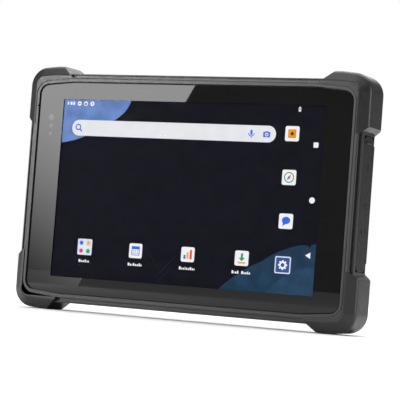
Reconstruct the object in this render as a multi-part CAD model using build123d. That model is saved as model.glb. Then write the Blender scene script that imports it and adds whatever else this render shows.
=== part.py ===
from build123d import *

import os
from math import radians, tan

# Rugged tablet computer, used in the field as a data collector. It stands upright on its
# lower bumpers: +X is its width, +Z is up and the screen faces -Y. Every size is in
# millimetres. Until the last step z counts from the middle of the screen.

# ---- display and front glass -------------------------------------------------------------
DISPLAY_W = 172.3  # lit area
DISPLAY_H = 107.7
GLASS_SIDE = 16.5  # glass beyond the lit area, left and right
GLASS_TOP = 10.2  # glass beyond the lit area, above and below
GLASS_T = 1.1
GLASS_R = 6.0
GLASS_RUN = 22.7  # slanting run at each end of the glass's long edges
SLANT = 5.2  # degrees, slant of those runs and of the bumpers' long faces

# ---- frame round the glass, each width counted outwards from the glass --------------------
GLASS_GAP = 0.5  # glass to the bezel's inner lip
LIP_W = 1.9  # bezel's inner lip
SEAM_W = 0.45  # engraved line outside the lip
SEAM_DEEP = 0.4
BAND_SIDE = 4.55  # outside of the raised band, left and right
BAND_TOP = 3.2  # the same, above and below
GROOVE_SIDE = 1.0  # open groove between band and housing rim
GROOVE_TOP = 1.45
RIM_T = 0.8  # housing rim that stands round the bezel's flange
HOUSING_R = 9.0
BUMPER_SIDE = 3.0  # bumpers beyond the housing
BUMPER_TOP = 4.7
BUMPER_R = 11.5

# ---- depth, front crest to rear feet -------------------------------------------------------
DEPTH = 24.0
GLASS_RECESS = 1.1  # crest to the front of the glass
TAPE_T = 0.3
LEDGE_T = 1.6
FLANGE_T = 1.0
GASKET_T = 0.5
RIM_H = 2.2  # height of the housing rim
WALL = 2.2  # housing side walls
REAR_WALL = 2.4
FOOT_T = 1.2  # bumpers stand this far behind the housing

# ---- bumpers -------------------------------------------------------------------------------
BUMPER_LONG = 26.2  # corner of the band to the end cut, along the long edges
BUMPER_SHORT = 28.45  # the same, along the short edges
END_ANGLE = 40.0  # degrees, slant of the end cuts
FOOT_FLAT = 4.0  # level part of the face that the tablet stands on
SHOULDER_IN = 6.0  # front shoulder, measured inwards
SHOULDER_DEEP = 3.6  # and backwards
SHOULDER_R = 3.0
CREST_R = 2.5
REAR_R = 2.2
BACK_FRAME_X = 15.0  # width of the bumpers' return on the back
BACK_FRAME_Z = 16.2
BACK_FRAME_R = 10.0

# ---- display stack and chassis ---------------------------------------------------------------
BOND_T = 0.2
LCD_T = 1.4
LCD_EDGE = 2.85  # panel beyond the lit area
BACKLIGHT_T = 2.4
BACKLIGHT_EDGE = 3.85
CHASSIS_GAP = 0.2
CHASSIS_T = 1.2
CHASSIS_RIM_T = 2.0
LEDGE_SIDE = 5.65  # glass edge to the ledge's inner edge, left and right
LEDGE_TOP = 4.05

# ---- battery and its cover --------------------------------------------------------------------
BATTERY_T = 7.2
COLUMN_W = 52.5  # room beside the battery for boards and speakers
ROW_H = 36.0  # and above and below it
BAY_FIT = 0.7  # room round the battery
BAY_WALL = 1.3
BAY_FLOOR = 1.1
COVER_T = 1.5
COVER_LEDGE = 8.4  # width of the ledge that the cover lies on
COVER_SCREW_IN = 4.5  # cover's edge to its screws
COVER_R = 7.0
COVER_FIT = 0.2
PLUG_DEEP = 0.8
SEAL_W = 1.6
SEAL_T = 0.4

# ---- fasteners ----------------------------------------------------------------------------------
SCREW_R = 1.25
THREAD_FIT = 0.02
HOLE_R = 1.5
HEAD_R = 2.6
HEAD_T = 1.0
HEAD_FIT = 0.3
HEX_R = 1.15
HEX_DEEP = 0.6
BOSS_R = 3.5
COVER_HEAD_R = 2.1
COVER_HEAD_T = 0.8
INSERT_R = 2.8
INSERT_BORE_R = 1.65
INSERT_LONG = 5.6
INSERT_X = 12.9  # hand strap points, beyond the battery cover
INSERT_Z = 25.0  # and from the middle

# ---- keys on the upper edge ------------------------------------------------------------------------
KEY_W = 11.0
KEY_D = 4.2
KEY_PROUD = 0.9
KEY_TRAVEL = 0.5
KEY_FIT = 0.3  # round the key in its slot, and under the wall
KEY_FLANGE = 0.7
KEY_FLANGE_T = 0.8
KEY_STEM = 0.6
DOME_R = 2.0
DOME_T = 0.4
DOME_FIT = 0.1
KEY_BOARD_T = 0.8
KEYS = {"volume_down_key": 28.0, "volume_up_key": 43.0, "power_key": 62.0, "function_key": -56.0}

# ---- ports and their cover on the right edge ----------------------------------------------------------
PORT_COVER_T = 1.6
PORT_COVER_R = 4.5
PORT_FIT = 0.3
PORT_END = 0.5  # end of the cover to the bumper's cut
PORT_FROM_RIM = 3.1  # housing rim to the cover
PORT_FROM_BACK = 2.4  # cover to the back
ANCHOR_D = 1.0
PORT_BLOCK_T = 2.5
SOCKET_SUNK = 0.7  # socket mouths below the recess floor
SOCKET_FIT = 0.15
NUB_LONG = 0.5
NUB_FIT = 0.25
USB_Z, USB_W, USB_H, USB_LONG = 20.5, 8.94, 3.26, 7.4
AUDIO_Z, AUDIO_R, AUDIO_W, AUDIO_BORE_R, AUDIO_LONG, AUDIO_DEEP = -1.0, 2.6, 6.0, 1.8, 13.5, 12.0
CARD_Z, CARD_W, CARD_H, CARD_LONG = -17.5, 14.6, 2.2, 15.0
TAB_W, TAB_PROUD = 7.0, 0.7

# ---- electronics -------------------------------------------------------------------------------------
BOARD_T = 1.2
BOARD_FROM_CHASSIS = 2.9
SHIELD_T = 0.2
SHIELD_H = 2.0

# ---- sizes that follow ----------------------------------------------------------------------------------
glass_x = DISPLAY_W / 2 + GLASS_SIDE
glass_z = DISPLAY_H / 2 + GLASS_TOP
band_x, band_z = glass_x + BAND_SIDE, glass_z + BAND_TOP
housing_x, housing_z = band_x + GROOVE_SIDE + RIM_T, band_z + GROOVE_TOP + RIM_T
inner_x, inner_z = housing_x - WALL, housing_z - WALL
bumper_x, bumper_z = housing_x + BUMPER_SIDE, housing_z + BUMPER_TOP
cut_x, cut_z = band_x - BUMPER_LONG, band_z - BUMPER_SHORT  # where the end cuts leave the band
bumper_run = bumper_x - cut_x - (bumper_z - band_z) / tan(radians(END_ANGLE)) - FOOT_FLAT

front = -DEPTH / 2
rear = DEPTH / 2
glass_front = front + GLASS_RECESS
glass_back = glass_front + GLASS_T
ledge_front = glass_back + TAPE_T
flange_back = ledge_front + LEDGE_T
flange_front = flange_back - FLANGE_T
shelf = flange_back + GASKET_T
rim_front = shelf - RIM_H
lcd_front = glass_back + BOND_T
lcd_back = lcd_front + LCD_T
light_back = lcd_back + BACKLIGHT_T
chassis_front = light_back + CHASSIS_GAP
chassis_back = chassis_front + CHASSIS_T
board_front = chassis_back + BOARD_FROM_CHASSIS
board_back = board_front + BOARD_T
back = rear - FOOT_T
rear_inner = back - REAR_WALL
boss_end = board_front + 0.5

cover_front = back - COVER_T
battery_x, battery_z = inner_x - COLUMN_W, inner_z - ROW_H
bay_x, bay_z = battery_x + BAY_FIT, battery_z + BAY_FIT
cover_x, cover_z = bay_x + COVER_LEDGE, bay_z + COVER_LEDGE
battery_back = cover_front - PLUG_DEEP - 0.4
battery_front = battery_back - BATTERY_T
key_y = (rim_front + back) / 2

# ---- places in x and z of what is fastened to, or let into, the rear wall --------------------------
CORNERS = [(sx, sz) for sx in (-1, 1) for sz in (1, -1)]
row_z = inner_z - 17.3  # middle of the rows above and below the battery cover
edge_x, edge_z = cut_x - 5.0, inner_z - 4.5
housing_screw_places = [(sx * (inner_x - 14.8), sz * row_z) for sx, sz in CORNERS]
housing_screw_places += [(sx * edge_x, sz * edge_z) for sx, sz in CORNERS]
housing_screw_places += [(-10.0, edge_z), (24.0, -edge_z)]
lid_x, lid_z = cover_x - COVER_SCREW_IN, cover_z - COVER_SCREW_IN
cover_screw_places = [(sx * lid_x, sz * lid_z) for sx, sz in CORNERS] + [(0.0, lid_z), (0.0, -lid_z)]
strap_places = [(sx * (cover_x + INSERT_X), sz * INSERT_Z) for sx, sz in CORNERS]
board_screw_places = [(bay_x + 11.0, -row_z), (bay_x + 11.0, 33.0), (inner_x - 8.8, 36.0), (-50.0, row_z), (30.0, row_z)]
camera_place = (edge_x - 4.0, row_z)
flash_place = (edge_x - 18.0, row_z)
speaker_places = {"speaker_left": (2.0 - edge_x, -row_z), "speaker_right": (edge_x - 2.0, -row_z)}

nodes = {}


# ---- shapes -----------------------------------------------------------------------------------------
def plate(outline, y_from, y_to):
    """The outline, drawn in x and z, carried through the depth from y_from to y_to."""
    return extrude(Plane.XZ.offset(-y_to) * outline, amount=y_to - y_from)


def rod(place, radius, y_from, y_to):
    """A round bar along y at the place (x, z)."""
    return plate(Pos(*place) * Circle(radius), y_from, y_to)


def block(x, y, z):
    """A box from its three (low, high) ranges."""
    size = [high - low for low, high in (x, y, z)]
    middle = [(high + low) / 2 for low, high in (x, y, z)]
    return Pos(*middle) * Box(*size)


def rounded(half_x, half_z, radius):
    """A rectangle with round corners, from half its width and height."""
    return RectangleRounded(2 * half_x, 2 * half_z, radius)


def slanted(half_x, half_z, radius, run):
    """A round-cornered outline whose long edges slant inwards over the run at each end."""
    low = half_z - run * tan(radians(SLANT))
    quarter = [(half_x, low), (half_x - run, half_z)]
    mirrored = [(-x, z) for x, z in reversed(quarter)]
    upper = quarter + mirrored
    outline = make_face(Polyline(*upper, *[(x, -z) for x, z in reversed(upper)], close=True))
    corners = [v for v in outline.vertices() if abs(abs(v.X) - half_x) < 0.01]
    return fillet(corners, radius)


def round_glass(grow):
    """The outline of the glass, grown evenly by grow."""
    run = GLASS_RUN + grow * (1 - tan(radians(SLANT / 2)))
    return slanted(glass_x + grow, glass_z + grow, GLASS_R + grow, run)


def bumper_area(sign_x, sign_z):
    """The corner that one bumper fills, bounded by its two slanting end cuts."""
    reach = 40.0
    rise = reach * tan(radians(END_ANGLE))
    corner = [(cut_x, 0.6 * cut_z), (cut_x, band_z), (cut_x + reach, band_z + rise),
              (band_x + reach, band_z + rise), (band_x + reach, cut_z + rise),
              (band_x, cut_z), (0.6 * cut_x, cut_z), (0.6 * cut_x, 0.6 * cut_z)]
    points = [(sign_x * x, sign_z * z) for x, z in corner]
    return make_face(Polyline(*points, close=True))


def screw(place, head_back, head_r, head_t, tip):
    """A screw whose head's outer face is at head_back and whose tip is at the depth tip."""
    body = rod(place, head_r, head_back - head_t, head_back) + rod(place, SCREW_R, tip, head_back - head_t)
    drive = plate(Pos(*place) * RegularPolygon(HEX_R, 6), head_back - HEX_DEEP, head_back)
    return body - drive


def stadium_bar(place, width, depth, z_from, z_to):
    """A bar along z with a round-ended section, at the place (x, y)."""
    section = Plane.XY.offset(z_from) * (Pos(*place) * SlotOverall(width, depth))
    return extrude(section, amount=z_to - z_from)


def side_bar(z, y, width, height, x_from, x_to):
    """A bar along x with a round-ended section, long in z."""
    section = Plane.YZ.offset(x_from) * (Pos(y, z) * Rot(0, 0, 90) * SlotOverall(width, height))
    return extrude(section, amount=x_to - x_from)


def every(shapes):
    """Several solids joined into one shape."""
    whole = shapes[0]
    for shape in shapes[1:]:
        whole = whole + shape
    return whole


def side_rod(y, z, radius, x_from, x_to):
    """A round bar along x."""
    return extrude(Plane.YZ.offset(x_from) * (Pos(y, z) * Circle(radius)), amount=x_to - x_from)


corner_areas = every([plate(bumper_area(*s), front - 1, rear + 1) for s in CORNERS])

# ---- glass and what is bonded to it ---------------------------------------------------------------------
glass = plate(round_glass(0), glass_front, glass_back)
nodes["cover_glass"] = chamfer(glass.faces().sort_by(Axis.Y)[0].edges(), 0.25)

ledge_x, ledge_z = glass_x - LEDGE_SIDE, glass_z - LEDGE_TOP
tape = round_glass(-0.4) - rounded(ledge_x + 0.5, ledge_z + 0.3, 3.0)
nodes["glass_tape"] = plate(tape, glass_back, ledge_front)

lcd_x, lcd_z = DISPLAY_W / 2 + LCD_EDGE, DISPLAY_H / 2 + LCD_EDGE
light_x, light_z = DISPLAY_W / 2 + BACKLIGHT_EDGE, DISPLAY_H / 2 + BACKLIGHT_EDGE
nodes["optical_bond"] = plate(Rectangle(2 * lcd_x - 1, 2 * lcd_z - 1), glass_back, lcd_front)
nodes["lcd_panel"] = plate(Rectangle(2 * lcd_x, 2 * lcd_z), lcd_front, lcd_back)
nodes["backlight_unit"] = plate(rounded(light_x, light_z, 1.0), lcd_back, light_back)

# ---- bezel: rings stacked from the front crest back to the flange ---------------------------------------------
seam_in = GLASS_GAP + LIP_W
ledge_hole = rounded(ledge_x, ledge_z, 3.0)
band = plate(rounded(band_x, band_z, HOUSING_R - 1.8), front, flange_front)
band = fillet(band.faces().sort_by(Axis.Y)[0].edges(), 0.9)
band = band - corner_areas - plate(round_glass(seam_in), front, flange_front)
lip = plate(round_glass(seam_in) - round_glass(GLASS_GAP), front, ledge_front)
seam = plate(round_glass(seam_in) - round_glass(seam_in - SEAM_W), front, front + SEAM_DEEP)
ledge = plate(round_glass(seam_in) - ledge_hole, ledge_front, flange_front)
flange_r = HOUSING_R - 1.0
flange = plate(rounded(housing_x - RIM_T - 0.15, housing_z - RIM_T - 0.15, flange_r) - ledge_hole, flange_front, flange_back)
bezel = lip - seam + ledge + flange + band
microphone_place = (-glass_x - 0.55, 49.5)
nodes["front_bezel"] = bezel - rod(microphone_place, 0.6, front, flange_back)
nodes["front_microphone"] = rod(microphone_place, 1.1, flange_back, flange_back + 1.2)

# ---- housing body, which the bumpers are moulded round ------------------------------------------------------
housing_body = plate(rounded(housing_x, housing_z, HOUSING_R), rim_front, back)
housing_body = fillet(housing_body.faces().sort_by(Axis.Y)[-1].edges(), 2.5)
housing_body = fillet(housing_body.faces().sort_by(Axis.Y)[0].edges(), 0.3)

# ---- bumpers -------------------------------------------------------------------------------------------------
envelope = plate(slanted(bumper_x, bumper_z, BUMPER_R, bumper_run), front, rear)
front_face = envelope.faces().sort_by(Axis.Y)[0]
envelope = chamfer(front_face.edges(), SHOULDER_IN, SHOULDER_DEEP, reference=front_face)
envelope = fillet(envelope.faces().sort_by(Axis.Y)[0].edges(), CREST_R)
shoulder = envelope.edges().filter_by(lambda e: abs(e.center().Y - front - SHOULDER_DEEP) < 0.01)
envelope = fillet(shoulder, SHOULDER_R)
envelope = fillet(envelope.faces().sort_by(Axis.Y)[-1].edges(), REAR_R)
shell = envelope - housing_body - plate(round_glass(seam_in), front, rim_front)
shell = shell - plate(rounded(housing_x - BACK_FRAME_X + 3, housing_z - BACK_FRAME_Z + 4.7, BACK_FRAME_R), back, rear)
shell = shell - plate(rounded(housing_x - 2, housing_z - 2, HOUSING_R - 2), rim_front, back)
for name, s in zip(("top_left", "bottom_left", "top_right", "bottom_right"), CORNERS):
    nodes[f"bumper_{name}"] = shell & plate(bumper_area(*s), front, rear)

# ---- rear housing -----------------------------------------------------------------------------------------------
housing = housing_body - plate(rounded(housing_x - RIM_T, housing_z - RIM_T, HOUSING_R - RIM_T), rim_front, shelf)
housing = housing - plate(rounded(inner_x, inner_z, HOUSING_R - WALL), shelf, rear_inner)
bay_outline = rounded(bay_x, bay_z, 2.0)
bay_shell = plate(rounded(bay_x + BAY_WALL, bay_z + BAY_WALL, 3.0), battery_front - 0.1 - BAY_FLOOR, rear_inner)
bosses = [rod(p, BOSS_R, boss_end, rear_inner) for p in housing_screw_places]
cover_bosses = [rod(p, 3.0, cover_front - 5.0, rear_inner) for p in cover_screw_places]
strap_bosses = [rod(p, INSERT_R + 1.6, back - INSERT_LONG - 2.5, rear_inner) for p in strap_places]
housing = every([housing, bay_shell, *bosses, *cover_bosses, *strap_bosses])
housing = housing - plate(bay_outline, battery_front - 0.1, back)
housing = housing - plate(rounded(cover_x, cover_z, COVER_R), cover_front, back)
seal = plate(rounded(bay_x + 0.6 + SEAL_W, bay_z + 0.6 + SEAL_W, 4.0) - rounded(bay_x + 0.6, bay_z + 0.6, 2.5),
             cover_front - SEAL_T, cover_front)
housing = housing - seal
for place in housing_screw_places:
    housing = housing - rod(place, HOLE_R, boss_end, back) - rod(place, HEAD_R + HEAD_FIT, back - HEAD_T - 0.2, back)
for place in cover_screw_places:
    housing = housing - rod(place, SCREW_R + THREAD_FIT, cover_front - 4.6, cover_front)
for place in strap_places:
    housing = housing - rod(place, INSERT_R, back - INSERT_LONG, back)

# ports: a thick block behind the recess, with a mouth for each socket
recess_x = housing_x - PORT_COVER_T + 0.1 - 0.2
port_front, port_back = rim_front + PORT_FROM_RIM, back - PORT_FROM_BACK
port_y = (port_front + port_back) / 2
port_z = cut_z - PORT_END  # half the length of the cover
anchor_front = port_back + PORT_FIT
recess_back = anchor_front + ANCHOR_D
recess = block((recess_x, bumper_x), (port_front - PORT_FIT, recess_back), (-port_z - PORT_FIT, port_z + PORT_FIT))
port_block = block((recess_x - PORT_BLOCK_T, inner_x), (port_front, port_back), (-port_z + 1, port_z - 1))
housing = housing + port_block - recess
socket_x = recess_x - SOCKET_SUNK
usb_y = board_back + USB_H / 2
audio_y = port_y
card_y = board_back + CARD_H / 2
through = (recess_x - PORT_BLOCK_T - 1, recess_x)
mouths = [side_bar(USB_Z, usb_y, USB_W + 2 * SOCKET_FIT, USB_H + 2 * SOCKET_FIT, *through),
          side_rod(audio_y, AUDIO_Z, AUDIO_R + SOCKET_FIT, *through),
          block(through, (card_y - CARD_H / 2 - SOCKET_FIT, card_y + CARD_H / 2 + SOCKET_FIT),
                (CARD_Z - CARD_W / 2 - SOCKET_FIT, CARD_Z + CARD_W / 2 + SOCKET_FIT))]
for mouth in mouths:
    housing = housing - mouth

# keys: a round-ended slot for each
for key_x in KEYS.values():
    housing = housing - stadium_bar((key_x, key_y), KEY_W + 2 * KEY_FIT, KEY_D + 2 * KEY_FIT, inner_z - 1, housing_z + 1)

# rear camera, flash and speaker slots in the rear wall
CAMERA_HOLE_R = 5.0
FLASH_R = 2.2
housing = housing - rod(camera_place, CAMERA_HOLE_R, rear_inner, back) - rod(flash_place, FLASH_R + 0.05, rear_inner, back)
SLOT_LONG, SLOT_WIDE, SLOT_PITCH, SLOTS = 12.0, 1.2, 2.4, 5
for x, z in speaker_places.values():
    for i in range(SLOTS):
        slot_z = z + (i - (SLOTS - 1) / 2) * SLOT_PITCH
        housing = housing - plate(Pos(x, slot_z) * SlotOverall(SLOT_LONG, SLOT_WIDE), rear_inner, back)

# docking connector in the lower edge
DOCK_X, DOCK_D, DOCK_DEEP = 13.0, 6.0, 4.5
housing = housing - block((-DOCK_X - 0.1, DOCK_X + 0.1), (key_y - DOCK_D / 2 - 0.1, key_y + DOCK_D / 2 + 0.1),
                          (-housing_z - 1, -inner_z + 1))
nodes["rear_housing"] = housing
nodes["housing_gasket"] = plate(
    rounded(housing_x - RIM_T - 0.1, housing_z - RIM_T - 0.1, HOUSING_R - RIM_T)
    - rounded(inner_x, inner_z, HOUSING_R - WALL), flange_back, shelf)

# ---- battery, cover and fasteners -----------------------------------------------------------------------------
battery = plate(rounded(battery_x, battery_z, 1.5), battery_front, battery_back)
nodes["battery_pack"] = fillet(battery.edges().filter_by(Axis.Y, reverse=True), 0.6)
cover = plate(rounded(cover_x - COVER_FIT, cover_z - COVER_FIT, COVER_R - COVER_FIT), cover_front, back)
cover = chamfer(cover.faces().sort_by(Axis.Y)[-1].edges(), 0.3)
cover = cover + plate(rounded(bay_x - 0.3, bay_z - 0.3, 1.7), cover_front - PLUG_DEEP, cover_front)
cover_head_back = back - 0.05
for place in cover_screw_places:
    cover = cover - rod(place, HOLE_R, cover_front, back)
    cover = cover - rod(place, COVER_HEAD_R + HEAD_FIT, cover_head_back - COVER_HEAD_T, back)
nodes["battery_cover"] = cover
nodes["battery_cover_gasket"] = seal
nodes["battery_cover_screws"] = Compound([
    screw(p, cover_head_back, COVER_HEAD_R, COVER_HEAD_T, cover_front - 4.4) for p in cover_screw_places])
nodes["housing_screws"] = Compound([
    screw(p, back - 0.2, HEAD_R, HEAD_T, boss_end - 2.6) for p in housing_screw_places])
nodes["strap_inserts"] = Compound([
    rod(p, INSERT_R, back - INSERT_LONG, back) - rod(p, INSERT_BORE_R, back - INSERT_LONG, back) for p in strap_places])

# ---- chassis --------------------------------------------------------------------------------------------------
rim_x, rim_z = inner_x - 0.4, inner_z - 0.4
chassis = plate(rounded(rim_x, rim_z, HOUSING_R - WALL - 0.4), chassis_front, chassis_back)
chassis = chassis + plate(
    rounded(rim_x, rim_z, HOUSING_R - WALL - 0.4)
    - rounded(rim_x - CHASSIS_RIM_T, rim_z - CHASSIS_RIM_T, HOUSING_R - WALL - CHASSIS_RIM_T), flange_back, chassis_front)
chassis = every([chassis, *[rod(p, BOSS_R, chassis_back, boss_end) for p in housing_screw_places],
                 *[rod(p, 2.2, chassis_back, board_front) for p in board_screw_places]])
key_board_z = inner_z - KEY_FIT - KEY_FLANGE_T - KEY_STEM - KEY_TRAVEL - DOME_FIT - DOME_T - KEY_BOARD_T
wall_span = (chassis_back, key_y + 3.0)
KEY_BOARDS = [(20.0, 70.0), (-63.0, -49.0)]
for span in KEY_BOARDS:
    chassis = chassis + block(span, wall_span, (key_board_z - 1.0, key_board_z))
for place in housing_screw_places:
    chassis = chassis - rod(place, SCREW_R + THREAD_FIT, boss_end - 2.8, boss_end)
for place in board_screw_places:
    chassis = chassis - rod(place, 0.82, board_front - 2.2, board_front)
flex_z = light_z + 1.0
FLEX_SPAN = (-18.0, 14.0)
chassis = chassis - block((FLEX_SPAN[0] - 0.5, FLEX_SPAN[1] + 0.5), (chassis_front, chassis_back), (flex_z - 0.5, flex_z + 0.7))
for x in (-45.0, 0.0, 45.0):
    for z in (-28.0, 10.0):
        chassis = chassis - plate(Pos(x, z) * RectangleRounded(30, 26, 4), chassis_front, chassis_back)
port_notch = block((recess_x - PORT_BLOCK_T - 0.3, inner_x), (port_front - 0.3, chassis_back), (0.7 - port_z, port_z - 0.7))
nodes["mid_chassis"] = chassis - port_notch
nodes["display_flex"] = (block(FLEX_SPAN, (lcd_back - 0.6, lcd_back - 0.4), (lcd_z, flex_z + 0.2))
                         + block(FLEX_SPAN, (lcd_back - 0.6, board_front - 0.2), (flex_z, flex_z + 0.2))
                         + block(FLEX_SPAN, (board_front - 0.4, board_front - 0.2), (flex_z - 7.0, flex_z + 0.2)))

# ---- main board ---------------------------------------------------------------------------------------------------
board_x = inner_x - 4.0
board_left, board_top, board_low = bay_x + BAY_WALL + 3.7, light_z - 0.2, -row_z - 6.0
board_foot = bay_z + BAY_WALL + 5.0
board = block((board_left, board_x), (board_front, board_back), (board_low, board_top))
board = board + block((-board_left, board_left), (board_front, board_back), (board_foot, board_top))
board = board - block((socket_x - AUDIO_LONG - 0.3, board_x), (board_front, board_back),
                      (AUDIO_Z - AUDIO_W / 2 - 0.3, AUDIO_Z + AUDIO_W / 2 + 0.3))
for place in housing_screw_places:
    board = board - rod(place, BOSS_R + 0.4, board_front, board_back)
for place in board_screw_places:
    board = board - rod(place, 1.0, board_front, board_back)
for place in strap_places:
    board = board - rod(place, INSERT_R + 2.0, board_front, board_back)
nodes["main_board"] = board
column_x, strip_z = (board_left + board_x) / 2 - 3.0, (board_foot + board_top) / 2
CANS = [(column_x, 8.0, 26.0, 30.0), (column_x, -28.0, 24.0, 26.0), (50.0, strip_z, 26.0, 12.0), (-30.0, strip_z, 22.0, 12.0)]
cans, chips = [], []
for x, z, w, h in CANS:
    can = plate(Pos(x, z) * RectangleRounded(w, h, 1.0), board_front - SHIELD_H, board_front)
    inside = plate(Pos(x, z) * Rectangle(w - 2 * SHIELD_T, h - 2 * SHIELD_T), board_front - SHIELD_H + SHIELD_T, board_front)
    cans.append(can - inside)
    chips.append(plate(Pos(x - w / 6, z) * Rectangle(w / 2.4, h / 2.4), board_front - 1.2, board_front))
    chips.append(plate(Pos(x + w / 4, z) * Rectangle(w / 6, h / 4), board_front - 0.9, board_front))
nodes["board_shields"] = Compound(cans)
nodes["board_chips"] = Compound(chips)
nodes["board_screws"] = Compound([
    rod(p, 1.8, board_back, board_back + 0.8) + rod(p, 0.8, board_front - 2.0, board_back) for p in board_screw_places])

# ---- sockets ---------------------------------------------------------------------------------------------------------
usb_shell = side_bar(USB_Z, usb_y, USB_W, USB_H, socket_x - USB_LONG, socket_x)
usb_mouth = side_bar(USB_Z, usb_y, USB_W - 0.6, USB_H - 0.6, socket_x - USB_LONG + 1.0, socket_x)
usb_tongue = block((socket_x - USB_LONG + 1.0, socket_x - 0.6), (usb_y - 0.35, usb_y + 0.35), (USB_Z - 3.3, USB_Z + 3.3))
nodes["usb_socket"] = usb_shell - usb_mouth + usb_tongue
audio_body = block((socket_x - AUDIO_LONG, recess_x - PORT_BLOCK_T - 0.2), (audio_y - AUDIO_W / 2, audio_y + AUDIO_W / 2),
                   (AUDIO_Z - AUDIO_W / 2, AUDIO_Z + AUDIO_W / 2))
audio_nose = side_rod(audio_y, AUDIO_Z, AUDIO_R, socket_x - AUDIO_LONG, socket_x)
audio_bore = side_rod(audio_y, AUDIO_Z, AUDIO_BORE_R, socket_x - AUDIO_DEEP, socket_x)
nodes["audio_socket"] = audio_body + audio_nose - audio_bore
card_body = block((socket_x - CARD_LONG, socket_x), (board_back, board_back + CARD_H), (CARD_Z - CARD_W / 2, CARD_Z + CARD_W / 2))
card_slot = block((socket_x - CARD_LONG + 1.5, socket_x), (card_y - 0.5, card_y + 0.5), (CARD_Z - 5.7, CARD_Z + 5.7))
nodes["card_socket"] = card_body - card_slot

# ---- port cover and the strip that anchors it -------------------------------------------------------------------------
cover_face = housing_x + 0.1
cover_inner = cover_face - PORT_COVER_T + 0.1
outline = Plane.YZ.offset(cover_inner) * (Pos(port_y, 0) * RectangleRounded((port_back - port_front), 2 * port_z, PORT_COVER_R))
port_cover = extrude(outline, amount=cover_face - cover_inner)
port_cover = fillet(port_cover.faces().sort_by(Axis.X)[-1].edges(), 0.4)
tab = block((cover_face - 0.4, cover_face + TAB_PROUD), (port_front + 2.5, port_front + 2.5 + TAB_W), (port_z - 4.6, port_z - 3.0))
tab = fillet(tab.edges().filter_by(lambda e: e.center().X > cover_face + TAB_PROUD - 0.01), 0.5)
nub_in = (cover_inner - NUB_LONG, cover_inner)
nubs = [side_bar(USB_Z, usb_y, USB_W - 2 * NUB_FIT, USB_H - 2 * NUB_FIT, *nub_in),
        side_rod(audio_y, AUDIO_Z, AUDIO_R - NUB_FIT, *nub_in),
        block(nub_in, (card_y - CARD_H / 2 + NUB_FIT, card_y + CARD_H / 2 - NUB_FIT),
              (CARD_Z - CARD_W / 2 + NUB_FIT, CARD_Z + CARD_W / 2 - NUB_FIT))]
port_cover = every([port_cover, tab, *nubs])
# raised marks over the sockets: a rounded frame, a ring and two dots
MARK_DEEP = 0.25
mark_plane = Plane.YZ.offset(cover_face - MARK_DEEP)
frame_mark = Pos(port_y, USB_Z) * (RectangleRounded(2.4, 4.4, 0.6) - RectangleRounded(1.4, 3.4, 0.3))
ring_mark = Pos(port_y, AUDIO_Z) * (Circle(1.7) - Circle(1.1))
port_cover = port_cover - extrude(mark_plane * frame_mark, amount=1) - extrude(mark_plane * ring_mark, amount=1)
for y in (port_y - 3.2, port_y + 3.2):
    dot_mark = Pos(y, CARD_Z + 2.0) * (Circle(1.5) - Circle(0.8))
    port_cover = port_cover - extrude(mark_plane * dot_mark, amount=1)
nodes["port_cover"] = port_cover
nodes["port_cover_anchor"] = block((recess_x, cover_face - 0.1), (anchor_front, recess_back), (-port_z + 5, port_z - 5))

# ---- keys ---------------------------------------------------------------------------------------------------------------
flange_top = inner_z - KEY_FIT
for name, key_x in KEYS.items():
    cap = stadium_bar((key_x, key_y), KEY_W, KEY_D, flange_top - KEY_FLANGE_T, housing_z + KEY_PROUD)
    cap = fillet(cap.faces().sort_by(Axis.Z)[-1].edges(), 0.5)
    skirt = stadium_bar((key_x, key_y), KEY_W + 2 * KEY_FLANGE, KEY_D + 2 * KEY_FLANGE, flange_top - KEY_FLANGE_T, flange_top)
    stem = stadium_bar((key_x, key_y), 3.01, 3.0, flange_top - KEY_FLANGE_T - KEY_STEM, flange_top - KEY_FLANGE_T)
    nodes[name] = cap + skirt + stem
boards = [block(span, (key_y - 3.0, key_y + 3.0), (key_board_z, key_board_z + KEY_BOARD_T)) for span in KEY_BOARDS]
nodes["key_board"] = Compound(boards)
dome_low = key_board_z + KEY_BOARD_T
nodes["key_domes"] = Compound([
    extrude(Plane.XY.offset(dome_low) * (Pos(x, key_y) * Circle(DOME_R)), amount=DOME_T, taper=30) for x in KEYS.values()])

# ---- front and rear cameras, flash, speakers -------------------------------------------------------------------------------
FRONT_CAMERA = (-glass_x + 8.65, 42.7)
camera_box = block((FRONT_CAMERA[0] - 3, FRONT_CAMERA[0] + 3), (lcd_back, light_back), (FRONT_CAMERA[1] - 3, FRONT_CAMERA[1] + 3))
nodes["front_camera"] = camera_box + rod(FRONT_CAMERA, 2.1, glass_back, lcd_back)
sensor_x = FRONT_CAMERA[0]
nodes["front_sensors"] = (block((sensor_x - 2, sensor_x + 2), (lcd_back - 0.4, light_back), (30.8, 39.0))
                          + rod((sensor_x, 37.3), 1.5, glass_back, lcd_back) + rod((sensor_x, 32.6), 1.4, glass_back, lcd_back))
ring = rod(camera_place, 7.0, back, back + 0.7)
ring = fillet(ring.faces().sort_by(Axis.Y)[-1].edges(), 0.3)
ring = ring + rod(camera_place, CAMERA_HOLE_R - 0.05, back - 1.4, back)
window_r = 3.8
ring = ring - rod(camera_place, window_r, back - 0.5, back + 0.7) - rod(camera_place, window_r - 0.8, back - 1.4, back)
nodes["rear_camera_ring"] = ring
nodes["rear_camera_window"] = rod(camera_place, window_r - 0.03, back - 0.5, back + 0.3)
camera_base = block((camera_place[0] - 4.7, camera_place[0] + 4.7), (board_back, rear_inner - 2.2), (camera_place[1] - 4.7, camera_place[1] + 4.7))
nodes["rear_camera_module"] = camera_base + rod(camera_place, 3.4, rear_inner - 2.2, back - 1.5)
nodes["flash_window"] = rod(flash_place, FLASH_R, back - 1.0, back + 0.1)
SPEAKER_W, SPEAKER_H, SPEAKER_T, MESH_T = 22.0, 15.0, 4.4, 0.25
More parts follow.
